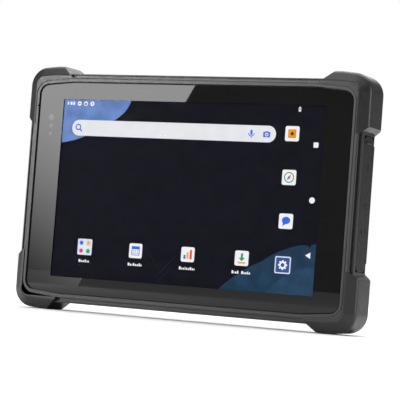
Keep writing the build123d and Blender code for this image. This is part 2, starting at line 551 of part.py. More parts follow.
for name, (x, z) in speaker_places.items():
    body = block((x - SPEAKER_W / 2, x + SPEAKER_W / 2), (rear_inner - MESH_T - SPEAKER_T, rear_inner - MESH_T),
                 (z - SPEAKER_H / 2, z + SPEAKER_H / 2))
    nodes[name] = fillet(body.edges().filter_by(Axis.Y), 1.5)
nodes["speaker_meshes"] = Compound([
    plate(Pos(x, z) * RectangleRounded(SLOT_LONG + 3, SPEAKER_H - 1, 1.5), rear_inner - MESH_T, rear_inner)
    for x, z in speaker_places.values()])

# ---- antennas, coil and vibration motor -------------------------------------------------------------------------------------
nodes["wifi_antenna"] = block((-42.0, -20.0), (key_y - 3, key_y + 3), (inner_z - 0.5, inner_z - 0.1))
nodes["cellular_antenna"] = block((-72.0, -32.0), (key_y - 4, key_y + 4), (0.1 - inner_z, 0.5 - inner_z))
nodes["gnss_antenna"] = plate(Pos(4.0 - edge_x, row_z - 4.0) * RectangleRounded(18, 18, 0.6), rear_inner - 5.0, rear_inner - 1.0)
coil = RectangleRounded(24, 36, 3) - RectangleRounded(16, 28, 2)
nodes["nfc_coil"] = plate(Pos(-80, 0) * coil, rear_inner - 0.3, rear_inner)
nodes["vibration_motor"] = rod((-82.0, -30.0), 5.0, chassis_back, chassis_back + 3.0)

# ---- docking connector ---------------------------------------------------------------------------------------------------------
dock_low = -housing_z + 0.3
dock = block((-DOCK_X, DOCK_X), (key_y - DOCK_D / 2, key_y + DOCK_D / 2), (dock_low, dock_low + DOCK_DEEP))
pins = [extrude(Plane.XY.offset(dock_low - 0.1) * (Pos(x, key_y) * Circle(0.9)), amount=3.0) for x in range(-8, 9, 4)]
for pin in pins:
    dock = dock - pin
nodes["dock_connector"] = dock
nodes["dock_contacts"] = Compound(pins)

# ---- the tablet is lifted until it stands on z = 0, and each piece is written ----------------------------------------------------
os.makedirs("parts", exist_ok=True)
for name, shape in nodes.items():
    export_step(Pos(0, 0, bumper_z) * shape, f"parts/{name}.step")
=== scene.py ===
from math import cos, pi, radians, sin

import bpy
import numpy as np
from mathutils import Matrix, Quaternion, Vector


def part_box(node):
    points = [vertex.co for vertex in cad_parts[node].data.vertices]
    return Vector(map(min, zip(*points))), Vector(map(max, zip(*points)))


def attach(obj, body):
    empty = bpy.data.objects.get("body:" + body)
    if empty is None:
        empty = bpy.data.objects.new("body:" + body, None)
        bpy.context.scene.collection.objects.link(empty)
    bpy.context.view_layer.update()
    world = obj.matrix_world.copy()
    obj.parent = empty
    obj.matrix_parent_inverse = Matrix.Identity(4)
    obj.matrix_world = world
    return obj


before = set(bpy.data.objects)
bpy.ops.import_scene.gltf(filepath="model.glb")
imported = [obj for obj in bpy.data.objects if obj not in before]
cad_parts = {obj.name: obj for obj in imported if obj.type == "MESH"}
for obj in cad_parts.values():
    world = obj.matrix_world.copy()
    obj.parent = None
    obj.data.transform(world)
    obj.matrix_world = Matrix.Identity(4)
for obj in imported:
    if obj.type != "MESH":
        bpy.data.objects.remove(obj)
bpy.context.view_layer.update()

# A rugged tablet computer for field work. It stands on its two lower bumpers: +X is its width,
# +Y its depth, from the screen to the back, and +Z is up. All lengths are in metres.
MM = 0.001

# ---- rear housing ---------------------------------------------------------------------------
# The tub that forms the sides and the back: black polycarbonate, injection moulded in a
# spark-eroded mould, so it is matt with a fine grain. Ten screws pull it onto the chassis.


def new_material(name):
    """A material, its shader and the socket with the object coordinates."""
    material = bpy.data.materials.new(name)
    material.use_nodes = True
    nodes = material.node_tree.nodes
    place = nodes.new("ShaderNodeTexCoord").outputs["Object"]
    return material, nodes["Principled BSDF"], place


def add_node(socket, kind, **settings):
    """A new node in the material that the socket belongs to."""
    node = socket.id_data.nodes.new(kind)
    for key, value in settings.items():
        setattr(node, key, value)
    return node


def wire(value, target):
    """Links a socket to the target, or sets the target to a number or a colour."""
    if isinstance(value, bpy.types.NodeSocket):
        target.id_data.links.new(value, target)
    else:
        target.default_value = value


def noise(place, size, detail=2.0):
    """Smooth noise between about 0.3 and 0.7, with lumps of the given size."""
    node = add_node(place, "ShaderNodeTexNoise")
    wire(place, node.inputs["Vector"])
    node.inputs["Scale"].default_value = 1 / size
    node.inputs["Detail"].default_value = detail
    return node.outputs["Fac"]


def ranged(value, low, high, to_low, to_high):
    """The value moved from the range low to high onto to_low to to_high, and held there."""
    node = add_node(value, "ShaderNodeMapRange")
    for socket, number in zip(node.inputs, (value, low, high, to_low, to_high)):
        wire(number, socket)
    return node.outputs["Result"]


def maths(operation, first, second=0.0):
    """One arithmetic step on two sockets or numbers."""
    owner = first if isinstance(first, bpy.types.NodeSocket) else second
    node = add_node(owner, "ShaderNodeMath", operation=operation)
    wire(first, node.inputs[0])
    wire(second, node.inputs[1])
    return node.outputs[0]


def mixed(factor, first, second):
    """The first colour where the factor is 0 and the second where it is 1."""
    node = add_node(factor, "ShaderNodeMix", data_type="RGBA")
    for index, value in zip((0, 6, 7), (factor, first, second)):
        wire(value, node.inputs[index])
    return node.outputs[2]


def tone(red, green, blue):
    """A colour from screen values of 0 to 255, made linear: ((v + 0.055) / 1.055) ^ 2.4."""
    values = np.array([red, green, blue]) / 255
    low = values / 12.92
    high = ((values + 0.055) / 1.055) ** 2.4
    return (*np.where(values <= 0.04045, low, high), 1.0)


def shaded(colour, factor):
    """The colour made lighter or darker by the factor."""
    return (*[min(1.0, c * factor) for c in colour[:3]], 1.0)


def moulded(name, colour, roughness, grain, height, drift=0.15, edge_wear_and_highlight=0.0, rounding=0.15 * MM, **sockets):
    """Moulded or cast surface. Its colour drifts by +-drift with a noise 18 mm across. On edges, where a
    bevelled normal leaves the true one, it is painted lighter by the factor 1 + the edge factor, in patches:
    partly rubbed wear and partly a painted edge highlight. Its roughness drifts with a 3 mm noise, and its
    relief is a noise of the given grain and height."""
    material, shader, place = new_material(name)
    broad = noise(place, 18 * MM, 3.0)
    body = mixed(ranged(broad, 0.3, 0.7, 0.0, 1.0), shaded(colour, 1 - drift), shaded(colour, 1 + drift))
    soft = add_node(place, "ShaderNodeBevel", samples=6)
    soft.inputs["Radius"].default_value = rounding
    # painted edge highlight mixed with rubbed wear: edges turn lighter where the bevelled normal leaves the
    # true one
    if edge_wear_and_highlight:
        wide = add_node(place, "ShaderNodeBevel", samples=6)
        wide.inputs["Radius"].default_value = 0.5 * MM
        true = add_node(place, "ShaderNodeNewGeometry").outputs["Normal"]
        dot = add_node(place, "ShaderNodeVectorMath", operation="DOT_PRODUCT")
        wire(wide.outputs["Normal"], dot.inputs[0])
        wire(true, dot.inputs[1])
        turned = ranged(dot.outputs["Value"], 0.99, 0.8, 0.0, 1.0)
        patchy_wear_and_highlight = ranged(noise(place, 5 * MM, 4.0), 0.35, 0.6, 0.25, 1.0)
        body = mixed(maths("MULTIPLY", turned, patchy_wear_and_highlight), body, shaded(colour, 1 + edge_wear_and_highlight))
    wire(body, shader.inputs["Base Color"])
    middle = noise(place, 3 * MM)
    wire(ranged(middle, 0.3, 0.7, roughness - 0.06, roughness + 0.06), shader.inputs["Roughness"])
    relief = add_node(place, "ShaderNodeBump")
    relief.inputs["Distance"].default_value = height
    wire(noise(place, grain, 1.0), relief.inputs["Height"])
    wire(soft.outputs["Normal"], relief.inputs["Normal"])
    wire(relief.outputs["Normal"], shader.inputs["Normal"])
    for socket, value in sockets.items():
        shader.inputs[socket.replace("_", " ")].default_value = value
    return material


def dress(material, *names):
    """Gives the CAD nodes this material."""
    for name in names:
        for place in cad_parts[name].material_slots:
            place.material = material


HOUSING_BLACK = tone(30, 30, 31)
housing_plastic = moulded("housing_plastic", HOUSING_BLACK, 0.4, 0.35 * MM, 0.02 * MM, edge_wear_and_highlight=1.6,
                          Specular_IOR_Level=0.4)
dress(housing_plastic, "rear_housing")

# ---- housing gasket -------------------------------------------------------------------------
# A silicone ring between the housing and the bezel's flange. It shows as the dark line at the
# bottom of the open groove.
SEAL_BLACK = tone(22, 22, 23)
seal_rubber = moulded("seal_rubber", SEAL_BLACK, 0.7, 0.2 * MM, 0.01 * MM)
dress(seal_rubber, "housing_gasket", "battery_cover_gasket", "glass_tape")

# ---- corner bumpers -------------------------------------------------------------------------
# Four soft thermoplastic rubber blocks, moulded over the corners of the housing. They have a matt grain
# and a slight sheen, and their edges are painted paler, partly as rubbed wear and partly as a painted edge
# highlight.
BUMPER_BLACK = tone(27, 27, 28)
bumper_rubber = moulded("bumper_rubber", BUMPER_BLACK, 0.36, 0.45 * MM, 0.018 * MM, edge_wear_and_highlight=1.4,
                        rounding=0.3 * MM, Specular_IOR_Level=0.45)
dress(bumper_rubber, "bumper_top_left", "bumper_bottom_left", "bumper_top_right", "bumper_bottom_right")

# ---- chassis, board and battery -------------------------------------------------------------
# The magnesium chassis carries the display, the circuit board and the battery. All of this is
# closed in: it shows only in a section or with the covers off.
dress(moulded("chassis_metal", tone(200, 201, 204), 0.45, 0.5 * MM, 0.02 * MM, Metallic=1.0), "mid_chassis")
dress(moulded("shield_metal", tone(208, 208, 210), 0.3, 0.8 * MM, 0.006 * MM, Metallic=1.0),
      "board_shields", "usb_socket", "card_socket", "vibration_motor", "key_domes")
dress(moulded("brass", tone(214, 178, 104), 0.3, 0.3 * MM, 0.006 * MM, Metallic=1.0),
      "strap_inserts", "dock_contacts", "nfc_coil")
dress(moulded("chip_black", tone(36, 36, 37), 0.5, 0.15 * MM, 0.006 * MM), "board_chips", "audio_socket")
dress(moulded("flex_film", tone(176, 118, 48), 0.35, 0.6 * MM, 0.004 * MM), "display_flex", "wifi_antenna",
      "cellular_antenna")
dress(moulded("ceramic", tone(220, 214, 198), 0.5, 0.3 * MM, 0.008 * MM), "gnss_antenna")
dress(moulded("battery_case", tone(70, 71, 74), 0.35, 1.2 * MM, 0.02 * MM), "battery_pack")
dress(moulded("diffuser", tone(236, 238, 240), 0.5, 0.4 * MM, 0.004 * MM), "backlight_unit")
dress(moulded("module_black", tone(30, 30, 31), 0.45, 0.2 * MM, 0.008 * MM), "rear_camera_module",
      "speaker_left", "speaker_right", "front_microphone")


def circuit(name, colour):
    """Circuit board: lighter tracks along the cell borders of a square Voronoi pattern, under a
    glossy solder resist."""
    material, shader, place = new_material(name)
    cells = add_node(place, "ShaderNodeTexVoronoi", feature="DISTANCE_TO_EDGE")
    wire(place, cells.inputs["Vector"])
    cells.inputs["Scale"].default_value = 1 / (2.4 * MM)
    track = ranged(cells.outputs["Distance"], 0.04, 0.07, 1.0, 0.0)
    wire(mixed(track, colour, shaded(colour, 1.9)), shader.inputs["Base Color"])
    wire(ranged(noise(place, 2 * MM), 0.3, 0.7, 0.25, 0.4), shader.inputs["Roughness"])
    return material


dress(circuit("circuit_board", tone(24, 92, 58)), "main_board", "key_board")

# ---- lit display ----------------------------------------------------------------------------
# An 8 inch panel bonded to the back of the glass. The picture is a home screen with plain signs
# and no lettering: each layer is a closed sheet a few hundredths of a millimetre thick.
glass_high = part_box("cover_glass")[1]
panel_low, panel_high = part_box("lcd_panel")
CENTRE = (panel_low + panel_high) / 2
PANEL_EDGE = 2.85 * MM  # dark edge of the panel
HALF_W = (panel_high[0] - panel_low[0]) / 2 - PANEL_EDGE
HALF_H = (panel_high[2] - panel_low[2]) / 2 - PANEL_EDGE
LAYER = 0.04 * MM  # from one layer of the picture to the next
dress(moulded("display", tone(20, 20, 26), 0.3, 0.3 * MM, 0.002 * MM), "lcd_panel")

bond, bond_shader, bond_place = new_material("clear_bond")
bond_shader.inputs["Base Color"].default_value = (0.0, 0.0, 0.0, 1.0)
bond_shader.inputs["Specular IOR Level"].default_value = 0.0
bond_shader.inputs["Alpha"].default_value = 0.002
wire(ranged(noise(bond_place, 9 * MM), 0.3, 0.7, 0.02, 0.06), bond_shader.inputs["Roughness"])
dress(bond, "optical_bond")


def make_piece(name, points, faces, body, material, smooth=True):
    """A mesh object from an array of points and a list of faces, riding on the body."""
    mesh = bpy.data.meshes.new(name)
    mesh.from_pydata(np.asarray(points).tolist(), [], faces)
    mesh.polygons.foreach_set("use_smooth", np.full(len(mesh.polygons), smooth))
    mesh.materials.append(material)
    piece = bpy.data.objects.new(name, mesh)
    bpy.context.scene.collection.objects.link(piece)
    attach(piece, body)
    return piece


def box_outline(x, z, width, height, radius, steps=6):
    """Rounded rectangle: each corner's centre plus radius times (cos t, sin t), with t running
    once round and the corner changing at each quarter turn."""
    quarter = np.repeat(np.arange(4), steps + 1)
    t = (quarter + np.tile(np.linspace(0, 1, steps + 1), 4)) * pi / 2
    side_x = np.array([1, -1, -1, 1])[quarter]
    side_z = np.array([1, 1, -1, -1])[quarter]
    px = x + side_x * (width / 2 - radius) + radius * np.cos(t)
    pz = z + side_z * (height / 2 - radius) + radius * np.sin(t)
    return np.column_stack([px, pz])


def disc_outline(x, z, radius, steps=32, start=0.0, stop=2 * pi, ratio=1.0):
    """Circle or sector's arc: (x + r cos t, z + ratio r sin t) for t from start to stop."""
    closed = abs(stop - start - 2 * pi) < 1e-6
    t = np.linspace(start, stop, steps, endpoint=not closed)
    return np.column_stack([x + radius * np.cos(t), z + ratio * radius * np.sin(t)])


def ring_sector(x, z, inner, outer, start, stop, steps=16):
    """Part of a ring: the outer arc one way and the inner arc back."""
    out = disc_outline(x, z, outer, steps, start, stop - 1e-4)
    back = disc_outline(x, z, inner, steps, start, stop - 1e-4)[::-1]
    return np.vstack([out, back])


def flat_signs(outlines, middle, levels, column):
    """Points and faces of flat signs. Each outline, in millimetres from the middle, is wound
    anticlockwise and closed with an outer face at the first level, an inner face at the second
    and a wall between them. The level becomes the given column of the points."""
    points, faces, start = [], [], 0
    for outline in outlines:
        along, up = outline.T
        area = np.sum(along * np.roll(up, -1) - np.roll(along, -1) * up)
        ring = outline[::1 if area > 0 else -1] * MM + middle
        points += [np.insert(ring, column, level, axis=1) for level in levels]
        count = len(ring)
        index = np.arange(count)
        following = (index + 1) % count
        walls = np.column_stack([index, index + count, following + count, following]) + start
        faces += [(index + start).tolist(), (index[::-1] + count + start).tolist(), *walls.tolist()]
        start += 2 * count
    return np.vstack(points), faces


def sheet(name, outlines, level, material):
    """Flat signs on the given layer of the picture, each half a layer thick."""
    front = glass_high[1] + 0.1 * MM - level * LAYER
    points, faces = flat_signs(outlines, (CENTRE[0], CENTRE[2]), (front, front + 0.5 * LAYER), column=1)
    make_piece(name, points, faces, "tablet", material, smooth=False)


def lit(name, colour, drift=0.05, strength=1.0):
    """Part of the picture: it glows in its colour, which drifts by +-drift with an 8 mm noise."""
    material, shader, place = new_material(name)
    shader.inputs["Base Color"].default_value = (0.004, 0.004, 0.005, 1.0)
    shader.inputs["Roughness"].default_value = 0.6
    shader.inputs["Specular IOR Level"].default_value = 0.0
    shader.inputs["Emission Strength"].default_value = strength
    drifting = ranged(noise(place, 8 * MM, 1.0), 0.35, 0.65, 0.0, 1.0)
    drifted = mixed(drifting, shaded(colour, 1 - drift), shaded(colour, 1 + drift))
    wire(drifted, shader.inputs["Emission Color"])
    return material


def joined_curve(points, steps=10):
    """A smooth line through the points: a Catmull-Rom spline, worked out span by span."""
    p = np.asarray(points, float)
    p = np.vstack([2 * p[0] - p[1], p, 2 * p[-1] - p[-2]])
    a, b, c, d = (p[i:len(p) - 3 + i, None, :] for i in range(4))
    t = np.linspace(0, 1, steps, endpoint=False)[None, :, None]
    curve = 0.5 * (2 * b + (c - a) * t + (2 * a - 5 * b + 4 * c - d) * t ** 2
                   + (3 * b - a - 3 * c + d) * t ** 3)
    return np.vstack([curve.reshape(-1, 2), p[-2]])


# the wallpaper: a night sky, with a pale blue sail at the top left and a teal hill at the right
half_w, half_h = HALF_W / MM + 1.0, HALF_H / MM + 1.0
wallpaper = lit("wallpaper_sky", tone(15, 15, 23), drift=0.16)
sheet("display_picture", [box_outline(0, 0, 2 * half_w, 2 * half_h, 0.5)], 0, wallpaper)
sail_edge = joined_curve([(-half_w, 27.2), (-80, 28.6), (-72, 31), (-61, 36), (-52, 41), (-45.5, 45.5),
                          (-41.8, 50), (-39.6, half_h)])
sail = np.vstack([sail_edge, [(-half_w, half_h)]])
sheet("wallpaper_sail", [sail], 1, lit("wallpaper_sail", tone(104, 134, 192), drift=0.14))
hill_edge = joined_curve([(25.5, -half_h), (31, -50), (36, -46), (45, -40), (52, -36.5), (60, -31.5),
                          (68, -28), (76, -25.6), (80, -25.4), (82, -26.8), (83, -25), (half_w, -24)])
hill = np.vstack([hill_edge, [(half_w, -half_h)]])
sheet("wallpaper_hill", [hill], 1, lit("wallpaper_hill", tone(31, 58, 82), drift=0.16))
ridge_edge = joined_curve([(56, -half_h), (62, -48), (70, -42.5), (78, -39), (half_w, -37)])
ridge = np.vstack([ridge_edge, [(half_w, -half_h)]])
sheet("wallpaper_ridge", [ridge], 2, lit("wallpaper_ridge", tone(38, 68, 94), drift=0.14))


def strand(points, width):
    """A thin line along a curve: its points moved to each side by half the width, which falls
    off to nothing at both ends as sin(pi s)."""
    curve = joined_curve(points)
    along = np.gradient(curve, axis=0)
    across = np.column_stack([-along[:, 1], along[:, 0]]) / np.linalg.norm(along, axis=1)[:, None]
    half = (0.08 + width / 2 * np.sin(np.linspace(0, pi, len(curve))))[:, None]
    return np.vstack([curve + across * half, (curve - across * half)[::-1]])


strands = [strand([(-17, -50), (-11, -46), (-6, -40), (-2, -36)], 0.5),
           strand([(-13, -52), (-8, -47), (-5, -42)], 0.4),
           strand([(-24, -33), (-18, -39), (-14, -45)], 0.35)]
sheet("wallpaper_strands", strands, 1, lit("wallpaper_strands", tone(30, 32, 52)))

# ---- signs on the screen ----------------------------------------------------------------------
# The search field, the tiles and the marks of the home screen, each a plain generic sign. Their
# places and sizes are in millimetres from the middle of the screen.
white = lit("sign_white", tone(240, 241, 244), 0.01)
field = lit("sign_field", tone(229, 231, 235), 0.02)
grey = lit("sign_grey", tone(150, 156, 172), 0.04)
blue = lit("sign_blue", tone(52, 108, 224), 0.05)
red = lit("sign_red", tone(222, 70, 58), 0.05)
green = lit("sign_green", tone(50, 158, 84), 0.05)
yellow = lit("sign_yellow", tone(242, 184, 30), 0.05)
orange = lit("sign_orange", tone(232, 150, 22), 0.05)
ink = lit("sign_ink", tone(60, 50, 34), 0.05)
indigo = lit("sign_indigo", tone(58, 84, 146), 0.05)
pale = lit("sign_pale", tone(214, 222, 242), 0.03)

sheet("search_field", [box_outline(-11.75, 36.8, 135.5, 9.6, 4.79, 12)], 3, field)
COLUMN_X, ROW_Z = 66.1, -35.2
LENS_Z, COMPASS_Z, BUBBLE_Z = 37.5, 12.5, -12.5
FOLDER_X, CALENDAR_X, CHART_X, TRAY_X = -64.2, -29.3, 5.4, 40.2
SETTINGS_Z = -37.4
column = [(COLUMN_X, z) for z in (LENS_Z, COMPASS_Z, BUBBLE_Z)]
row = [(x, ROW_Z) for x in (CALENDAR_X, CHART_X, TRAY_X)]
tiles = [box_outline(x, z, 8.7, 8.7, 1.1) for x, z in column + row]
sheet("tiles", tiles + [box_outline(FOLDER_X, ROW_Z + 0.2, 9.8, 9.6, 0.8)], 3, white)
sheet("settings_tile", [box_outline(COLUMN_X, SETTINGS_Z, 9.8, 9.8, 0.9)], 3, pale)
sheet("settings_field", [box_outline(COLUMN_X, SETTINGS_Z, 8.4, 8.4, 0.6)], 4, indigo)


def gear_outline(x, z, radius, teeth, depth):
    """Gear: the radius goes up and down by the depth with a squared-off cosine of teeth x t."""
    t = np.linspace(0, 2 * pi, 16 * teeth, endpoint=False)
    r = radius + depth * np.tanh(4 * np.cos(teeth * t)) / 2
    return np.column_stack([x + r * np.cos(t), z + r * np.sin(t)])


sheet("settings_gear", [gear_outline(COLUMN_X, SETTINGS_Z, 2.5, 8, 0.7)], 5, white)
sheet("settings_gear_hole", [disc_outline(COLUMN_X, SETTINGS_Z, 1.15)], 6, indigo)

# status marks: a clock of three bars and two dots, three round signs, a faint one and a battery
STATUS_Z = 51.5
CLOCK_BARS = ((-83.6, 1.0), (-81.4, 1.3), (-79.5, 1.3))  # middle and width
clock = [box_outline(x, STATUS_Z, width, 1.9, 0.25, 3) for x, width in CLOCK_BARS]
clock += [disc_outline(-82.4, STATUS_Z + rise, 0.16, 12) for rise in (-0.5, 0.5)]
sheet("status_clock", clock, 3, white)
bell_x, ring_x, note_x = -75.6, -71.2, -66.7
sheet("status_discs", [disc_outline(x, STATUS_Z, 1.4) for x in (bell_x, ring_x, note_x)], 3, white)
status_details = [box_outline(bell_x, STATUS_Z, 1.5, 0.45, 0.2, 3), disc_outline(ring_x, 51.3, 0.7, 20),
                  box_outline(note_x, 51.6, 0.5, 1.3, 0.2, 3)]
sheet("status_details", status_details, 4, indigo)
faint = [box_outline(-62.2, STATUS_Z, 2.2, 0.5, 0.2, 3), box_outline(-61.6, 52.3, 1.6, 0.4, 0.15, 3)]
sheet("status_faint", faint, 3, grey)
BATTERY_X = 69.8
battery_sign = [box_outline(BATTERY_X, 51.4, 1.5, 2.3, 0.3, 3),
                box_outline(BATTERY_X, 52.8, 0.7, 0.4, 0.1, 3)]
sheet("status_battery", battery_sign, 3, white)
sheet("status_battery_level", [box_outline(BATTERY_X, 51.6, 0.6, 1.0, 0.15, 3)], 4, ink)

# navigation marks: a square, a disc and a triangle
triangle = np.array([(79.4, -31.1), (82.6, -32.9), (82.6, -29.3)])
navigation = [box_outline(81.2, 31.5, 3.0, 3.0, 0.2, 3), disc_outline(81.2, 0.1, 1.75), triangle]
sheet("navigation_marks", navigation, 3, white)

# labels under the tiles: plain bars
def strip_of_marks(middle_x, z, widths, gap=0.35, low=1.15, tall=1.75):
    """A line of small blocks in place of a word: each width in turn, tall where its place in the
    line is a multiple of three."""
    widths = np.asarray(widths, float)
    starts = middle_x - (widths.sum() + gap * (len(widths) - 1)) / 2 + np.cumsum(widths + gap) - widths - gap
    heights = np.where(np.arange(len(widths)) % 3 == 0, tall, low)
    return [box_outline(x + w / 2, z + h / 2, w, h, 0.22, 3) for x, w, h in zip(starts, widths, heights)]


LABEL_Z = -44.2
labels = strip_of_marks(FOLDER_X, LABEL_Z, (1.2, 0.9, 1.0, 0.9, 0.4, 1.0))
labels += strip_of_marks(CALENDAR_X, LABEL_Z, (1.2, 0.9, 0.4, 0.9, 1.0, 0.9, 0.9, 0.7))
labels += strip_of_marks(CHART_X, LABEL_Z, (1.2, 0.8, 0.8, 0.4, 0.9, 0.8, 1.0, 0.9, 0.6))
labels += strip_of_marks(TRAY_X - 3.6, LABEL_Z, (1.1, 0.4, 0.9, 0.9))
labels += strip_of_marks(TRAY_X + 3.2, LABEL_Z, (1.1, 0.7, 0.9, 0.6, 0.9))
sheet("labels", labels, 3, white)


def stroke(x0, z0, x1, z1, width):
    """A straight bar with square ends from one point to the other."""
    along = np.array([x1 - x0, z1 - z0])
    across = np.array([-along[1], along[0]]) / np.hypot(*along) * width / 2
    a, b = np.array([x0, z0]), np.array([x1, z1])
    return np.array([a + across, a - across, b - across, b + across])


# signs in the search field: a magnifier, a microphone and a camera
MICROPHONE_X, CAMERA_X, CAMERA_Z = 40.5, 50.2, 36.5
sheet("magnifier", [ring_sector(-75.2, 37.2, 1.25, 1.95, 0, 2 * pi, 40)], 4, blue)
sheet("magnifier_handle", [stroke(-73.9, 35.9, -72.6, 34.7, 0.8)], 4, blue)
sheet("microphone_sign", [box_outline(MICROPHONE_X, 37.5, 1.4, 3.0, 0.69, 6)], 4, blue)
microphone_stand = [ring_sector(MICROPHONE_X, 37.1, 1.5, 2.0, pi, 2 * pi, 16),
                    stroke(MICROPHONE_X, 35.2, MICROPHONE_X, 34.3, 0.5)]
sheet("microphone_stand", microphone_stand, 4, blue)
camera_sign = [box_outline(CAMERA_X, CAMERA_Z, 4.4, 3.2, 0.5), box_outline(CAMERA_X, 38.2, 1.6, 0.5, 0.1, 3)]
sheet("camera_sign", camera_sign, 4, blue)
sheet("camera_sign_lens", [disc_outline(CAMERA_X, CAMERA_Z, 1.1, 24)], 5, field)
sheet("camera_sign_dot", [disc_outline(CAMERA_X, CAMERA_Z, 0.6, 20)], 6, red)

# signs on the right-hand tiles: a lens, a compass and a speech bubble
sheet("lens_tile", [box_outline(COLUMN_X, LENS_Z, 5.0, 5.0, 0.4)], 4, orange)
sheet("lens_dot", [disc_outline(COLUMN_X, LENS_Z, 0.95, 24)], 5, ink)
sheet("compass_ring", [ring_sector(COLUMN_X, COMPASS_Z, 2.5, 3.1, 0, 2 * pi, 40)], 4, green)
NEEDLE_LONG, NEEDLE_HALF = 2.1, 0.75
pointing = np.array([0.6, 0.8])  # the way the needle points
needle_side = np.array([-0.8, 0.6]) * NEEDLE_HALF
compass_middle = np.array([COLUMN_X, COMPASS_Z])
for title, side, fill in (("north", 1, red), ("south", -1, blue)):
    tip = compass_middle + side * NEEDLE_LONG * pointing
    needle = np.array([tip, compass_middle + needle_side, compass_middle - needle_side])
    sheet(f"compass_{title}", [needle], 5, fill)
bubble_tail = np.array([(COLUMN_X - 1.6, -13.0), (COLUMN_X + 0.4, -13.9), (COLUMN_X - 2.0, -15.3)])
sheet("bubble", [disc_outline(COLUMN_X + 0.1, -12.0, 2.6, 32, ratio=0.8), bubble_tail], 4, blue)

# signs on the dock: a folder, a calendar, a bar chart and an arrow over a tray
quarters = [(side, rise) for side in (-1, 1) for rise in (-1, 1)]
for (side, rise), fill, title in zip(quarters, (red, blue, green, yellow), "abcd"):
    where = (FOLDER_X + 2.4 * side, ROW_Z + 0.2 + 2.4 * rise)
    sheet(f"folder_cell_{title}", [box_outline(*where, 4.3, 4.3, 0.4)], 4, pale)
    sheet(f"folder_sign_{title}", [disc_outline(*where, 1.25, 20)], 5, fill)
sheet("calendar_frame", [box_outline(CALENDAR_X, ROW_Z, 5.4, 5.4, 0.6)], 4, blue)
sheet("calendar_page", [box_outline(CALENDAR_X, ROW_Z - 0.7, 4.4, 3.2, 0.3)], 5, white)
DAY_STEP = 1.3
days = [(CALENDAR_X + DAY_STEP * side, ROW_Z - 1.4 + DAY_STEP * line)
        for side in (-1, 0, 1) for line in (0, 1)]
sheet("calendar_days", [box_outline(*day, 0.7, 0.7, 0.1, 3) for day in days], 6, grey)
CHART_FOOT = ROW_Z - 2.7
for title, side, tall, fill in (("low", -1, 2.4, blue), ("middle", 0, 4.0, yellow), ("high", 1, 5.4, red)):
    bar = box_outline(CHART_X + 2.0 * side, CHART_FOOT + tall / 2, 1.4, tall, 0.2, 3)
    sheet(f"chart_{title}", [bar], 4, fill)
ARROW_X = TRAY_X + 0.1
arrow_head = np.array([(ARROW_X - 2.0, ROW_Z + 0.2), (ARROW_X, ROW_Z - 1.7), (ARROW_X + 2.0, ROW_Z + 0.2)])
sheet("arrow_sign", [stroke(ARROW_X, ROW_Z + 2.8, ARROW_X, ROW_Z, 1.4), arrow_head], 4, green)
sheet("arrow_tray", [box_outline(ARROW_X, ROW_Z - 2.6, 4.6, 0.8, 0.2, 3)], 4, orange)

# ---- front camera and sensors -----------------------------------------------------------------
# A camera and two sensors behind the left border. The print leaves a smoky window over each.
camera_low, camera_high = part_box("front_camera")
EYE_X = (camera_low[0] + camera_high[0]) / 2
camera_z = (camera_low[2] + camera_high[2]) / 2
SENSOR_RISES = ((37.3 * MM, 1.25 * MM), (32.6 * MM, 1.2 * MM))  # height over the middle, radius
eyes = [(EYE_X, camera_z, 1.9 * MM)] + [(EYE_X, CENTRE[2] + rise, radius) for rise, radius in SENSOR_RISES]
dress(moulded("eye_black", tone(34, 35, 40), 0.25, 0.3 * MM, 0.002 * MM), "front_camera", "front_sensors")

# ---- front glass ------------------------------------------------------------------------------
# One sheet of hardened glass. Its back is printed black outside the lit area, and that border
# is glossy. It is let into the bezel and held by adhesive tape.


def inside_box(place, half_width, half_height, soften):
    """1 inside a rectangle round the middle of the screen and 0 outside: the product of two
    ramps, each from the distance to an edge."""
    parts = add_node(place, "ShaderNodeSeparateXYZ")
    wire(place, parts.inputs[0])
    across = maths("ABSOLUTE", maths("SUBTRACT", parts.outputs["X"], CENTRE[0]))
    upward = maths("ABSOLUTE", maths("SUBTRACT", parts.outputs["Z"], CENTRE[2]))
    in_width = ranged(across, half_width - soften, half_width + soften, 1.0, 0.0)
    in_height = ranged(upward, half_height - soften, half_height + soften, 1.0, 0.0)
    return maths("MULTIPLY", in_width, in_height)


def inside_disc(place, x, z, radius, soften):
    """1 inside a round spot of the glass and 0 outside, by the distance from its middle."""
    parts = add_node(place, "ShaderNodeSeparateXYZ")
    wire(place, parts.inputs[0])
    dx = maths("SUBTRACT", parts.outputs["X"], x)
    dz = maths("SUBTRACT", parts.outputs["Z"], z)
    distance = maths("SQRT", maths("ADD", maths("MULTIPLY", dx, dx), maths("MULTIPLY", dz, dz)))
    return ranged(distance, radius - soften, radius + soften, 1.0, 0.0)


glass, glass_shader, glass_place = new_material("front_glass")
window = inside_box(glass_place, HALF_W, HALF_H, 0.05 * MM)
spots = inside_disc(glass_place, *eyes[0], 0.15 * MM)
for eye in eyes[1:]:
    spots = maths("MAXIMUM", spots, inside_disc(glass_place, *eye, 0.15 * MM))
print_drift = ranged(noise(glass_place, 30 * MM), 0.3, 0.7, 0.0, 1.0)
print_tone = mixed(print_drift, tone(15, 15, 16), tone(18, 18, 19))
wire(mixed(spots, print_tone, tone(62, 63, 68)), glass_shader.inputs["Base Color"])
wire(ranged(window, 0.0, 1.0, 1.0, 0.003), glass_shader.inputs["Alpha"])
wire(ranged(noise(glass_place, 12 * MM, 3.0), 0.3, 0.7, 0.008, 0.014), glass_shader.inputs["Roughness"])
glass_shader.inputs["Specular IOR Level"].default_value = 0.25
dress(glass, "cover_glass")

# ---- bezel ------------------------------------------------------------------------------------
# A thin frame of black polycarbonate: an inner lip round the glass, an engraved line and a
# raised band. Its flange lies on the gasket.
bezel_plastic = moulded("bezel_plastic", tone(32, 32, 33), 0.36, 0.3 * MM, 0.012 * MM, edge_wear_and_highlight=1.2,
                        Specular_IOR_Level=0.5)
dress(bezel_plastic, "front_bezel")
